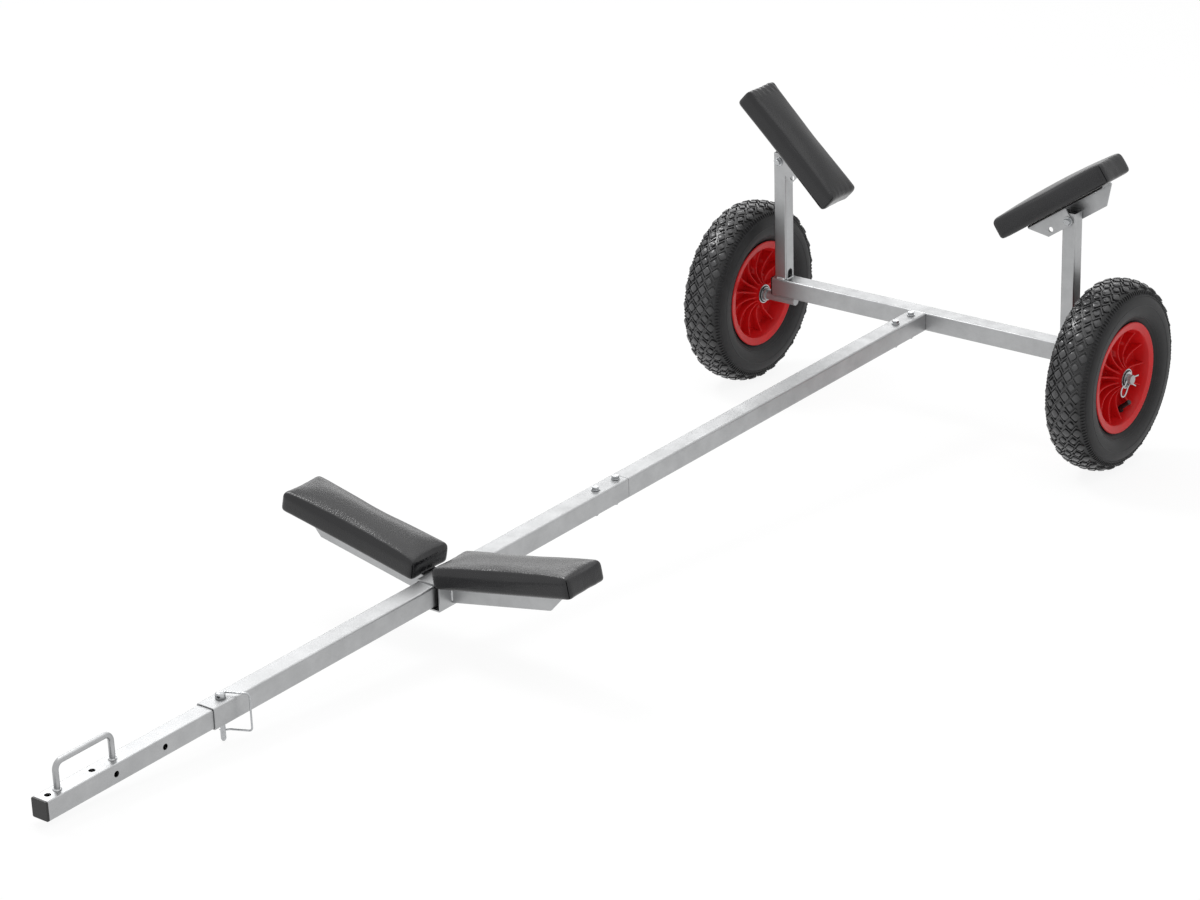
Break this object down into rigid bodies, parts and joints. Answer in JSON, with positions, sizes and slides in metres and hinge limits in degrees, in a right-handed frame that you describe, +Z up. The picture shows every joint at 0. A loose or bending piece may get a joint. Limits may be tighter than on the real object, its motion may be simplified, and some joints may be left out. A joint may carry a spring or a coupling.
{
  "type": "inflatable boat trolley",
  "caption": "Two-wheeled hand trolley for an inflatable boat, with a long square-tube drawbar, padded tilting hull rests on posts and a padded carriage that slides on the drawbar.",
  "frame": {"origin": "on the ground, under the middle of the whole trolley's bounding box", "axes": "+Z up; the drawbar runs from the axle towards -Y and its nose is the -Y end; +X is the trolley's right-hand side for someone who stands behind it and looks along the drawbar"},
  "size_m": [1.0158, 2.7528, 0.6672],
  "materials": {
    "galvanised_steel": "dull hot-dip galvanised, faint spangle",
    "bright_zinc": "bright zinc plate",
    "black_plastic": "moulded, fine texture",
    "tyre_rubber": "matt, moulded tread",
    "tube_rubber": "smooth",
    "red_plastic": "moulded, satin gloss",
    "black_vinyl": "vinyl cover with a fine grain over foam",
    "black_board": "painted board"
  },
  "bodies": {
    "frame": {"cross_beam": "galvanised_steel", "beam_end_cap_left": "black_plastic", "beam_end_cap_right": "black_plastic", "post_left": "galvanised_steel", "post_right": "galvanised_steel", "axle_stub_left": "bright_zinc", "axle_stub_right": "bright_zinc", "axle_washer_inner_left": "bright_zinc", "axle_washer_outer_left": "bright_zinc", "axle_washer_inner_right": "bright_zinc", "axle_washer_outer_right": "bright_zinc", "axle_clip_left": "bright_zinc", "axle_clip_right": "bright_zinc", "drawbar_rear": "galvanised_steel", "drawbar_middle": "galvanised_steel", "drawbar_front": "galvanised_steel", "drawbar_spigot": "galvanised_steel", "drawbar_joint_sleeve": "galvanised_steel", "front_end_cap": "black_plastic", "tow_handle": "galvanised_steel", "drawbar_bolt_1": "bright_zinc", "drawbar_bolt_2": "bright_zinc", "drawbar_bolt_3": "bright_zinc", "drawbar_bolt_4": "bright_zinc", "drawbar_nut_1": "bright_zinc", "drawbar_nut_2": "bright_zinc", "drawbar_nut_3": "bright_zinc", "drawbar_nut_4": "bright_zinc", "rest_pivot_bolt_left": "bright_zinc", "rest_pivot_bolt_right": "bright_zinc", "rest_pivot_nut_left": "bright_zinc", "rest_pivot_nut_right": "bright_zinc"},
    "wheel_left": {"rim_left": "red_plastic", "tyre_left": "tyre_rubber", "inner_tube_left": "tube_rubber", "hub_bush_inner_left": "black_plastic", "hub_bush_outer_left": "black_plastic"},
    "wheel_right": {"rim_right": "red_plastic", "tyre_right": "tyre_rubber", "inner_tube_right": "tube_rubber", "hub_bush_inner_right": "black_plastic", "hub_bush_outer_right": "black_plastic"},
    "rear_rest_left": {"rest_bracket_left": "galvanised_steel", "board_rear_left": "black_board", "pad_rear_left": "black_vinyl"},
    "rear_rest_right": {"rest_bracket_right": "galvanised_steel", "board_rear_right": "black_board", "pad_rear_right": "black_vinyl"},
    "carriage": {"carriage_sleeve": "galvanised_steel", "carriage_arm_left": "galvanised_steel", "carriage_arm_right": "galvanised_steel", "board_front_left": "black_board", "board_front_right": "black_board", "pad_front_left": "black_vinyl", "pad_front_right": "black_vinyl"},
    "lock_pin": {"lock_pin": "bright_zinc"},
    "lock_bow": {"lock_pin_bow": "bright_zinc"}
  },
  "joints": [
    {"name": "wheel_left_spin", "type": "hinge", "parent": "frame", "child": "wheel_left", "pos_m": [-0.4475, 1.17634, 0.2], "axis": [1, 0, 0], "continuous": true},
    {"name": "wheel_right_spin", "type": "hinge", "parent": "frame", "child": "wheel_right", "pos_m": [0.4475, 1.17634, 0.2], "axis": [1, 0, 0], "continuous": true},
    {"name": "rear_rest_tilt_left", "type": "hinge", "parent": "frame", "child": "rear_rest_left", "pos_m": [-0.3533, 1.15116, 0.5153], "axis": [0, 0.9968, 0.0796], "range_deg": [-33, 16.5]},
    {"name": "rear_rest_tilt_right", "type": "hinge", "parent": "frame", "child": "rear_rest_right", "pos_m": [0.3533, 1.15116, 0.5153], "axis": [0, -0.9968, -0.0796], "range_deg": [-24.5, 25.5]},
    {"name": "carriage_slide", "type": "slide", "parent": "frame", "child": "carriage", "axis": [0, 0.9968, 0.0796], "range_m": [-0.43, 0.37]},
    {"name": "lock_pin_turn", "type": "hinge", "parent": "frame", "child": "lock_pin", "pos_m": [0, -0.96326, 0.05951], "axis": [0, -0.0796, 0.9968], "range_deg": [-85, 22]},
    {"name": "lock_bow_swing", "type": "hinge", "parent": "lock_pin", "child": "lock_bow", "pos_m": [0, -0.96528, 0.08473], "axis": [0.4226, -0.9034, -0.0722], "range_deg": [0, 100]}
  ]
}
